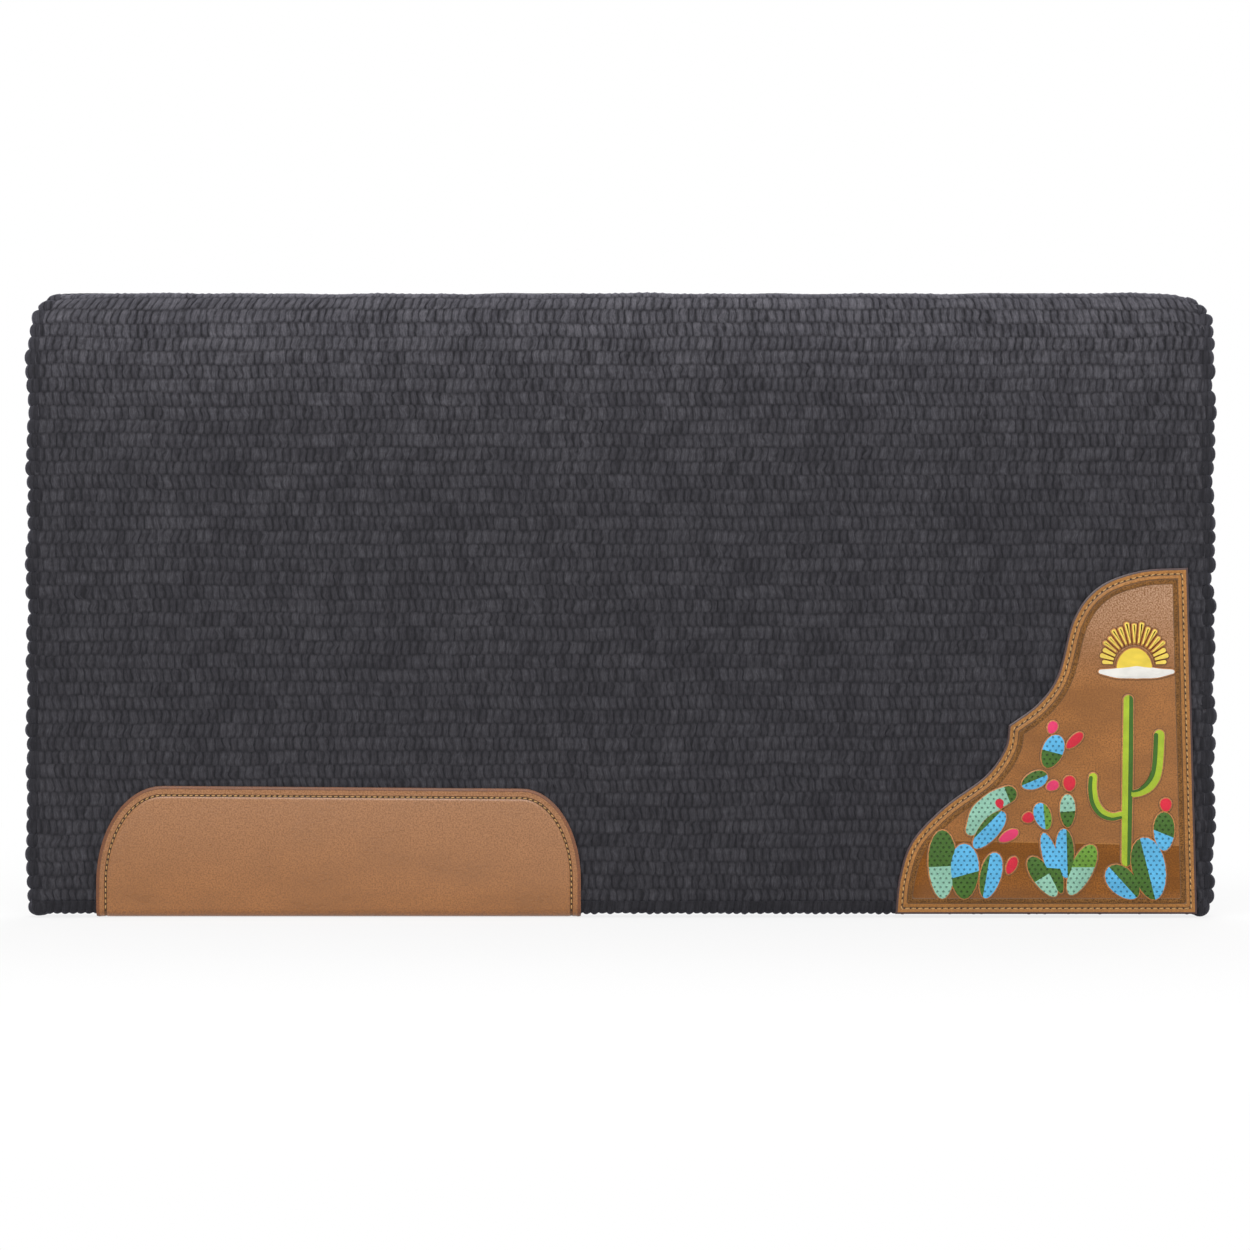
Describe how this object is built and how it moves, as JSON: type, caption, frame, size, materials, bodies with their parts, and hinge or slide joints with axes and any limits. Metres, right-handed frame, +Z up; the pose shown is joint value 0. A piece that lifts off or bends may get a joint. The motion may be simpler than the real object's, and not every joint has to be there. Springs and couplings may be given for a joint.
{
  "type": "saddle pad",
  "caption": "Woven wool saddle pad folded along its spine; both sides swing out, with a wear leather and a tooled rear corner leather on each.",
  "frame": {"origin": "the underside of the fold, midway along the spine, where the pad hangs on a horse's back or a rail", "axes": "+Z up; +X along the spine towards the rear of the pad; the near side hangs at -Y, the off side at +Y"},
  "size_m": [0.864, 0.0302, 0.4542],
  "materials": {
    "wool": "coarse ribbed wool, matt",
    "core_wool": "thick wool cord, matt",
    "wear_leather": "smooth, oiled",
    "tooled_leather": "tooled, satin",
    "thread": "waxed thread"
  },
  "bodies": {
    "spine": {"spine_outer_weave": "wool", "spine_inner_weave": "wool", "spine_weft_cords": "core_wool", "spine_front_selvage": "wool", "spine_rear_selvage": "wool"},
    "near_side": {"near_outer_weave": "wool", "near_inner_weave": "wool", "near_weft_cords": "core_wool", "near_front_selvage": "wool", "near_rear_selvage": "wool", "near_bottom_hem": "wool", "near_wear_leather": "wear_leather", "near_wear_stitching": "thread", "near_corner_leather": "tooled_leather", "near_corner_stitching": "thread"},
    "off_side": {"off_outer_weave": "wool", "off_inner_weave": "wool", "off_weft_cords": "core_wool", "off_front_selvage": "wool", "off_rear_selvage": "wool", "off_bottom_hem": "wool", "off_wear_leather": "wear_leather", "off_wear_stitching": "thread", "off_corner_leather": "tooled_leather", "off_corner_stitching": "thread"}
  },
  "joints": [
    {"name": "near_side_swing", "type": "hinge", "parent": "spine", "child": "near_side", "pos_m": [0, -0.00648, 0.00248], "axis": [-1, 0, 0], "range_deg": [0, 90], "deforming": ["spine_outer_weave", "spine_inner_weave", "spine_weft_cords", "spine_front_selvage", "spine_rear_selvage"]},
    {"name": "off_side_swing", "type": "hinge", "parent": "spine", "child": "off_side", "pos_m": [0, 0.00648, 0.00248], "axis": [1, 0, 0], "range_deg": [0, 90], "deforming": ["spine_outer_weave", "spine_inner_weave", "spine_weft_cords", "spine_front_selvage", "spine_rear_selvage"]}
  ]
}
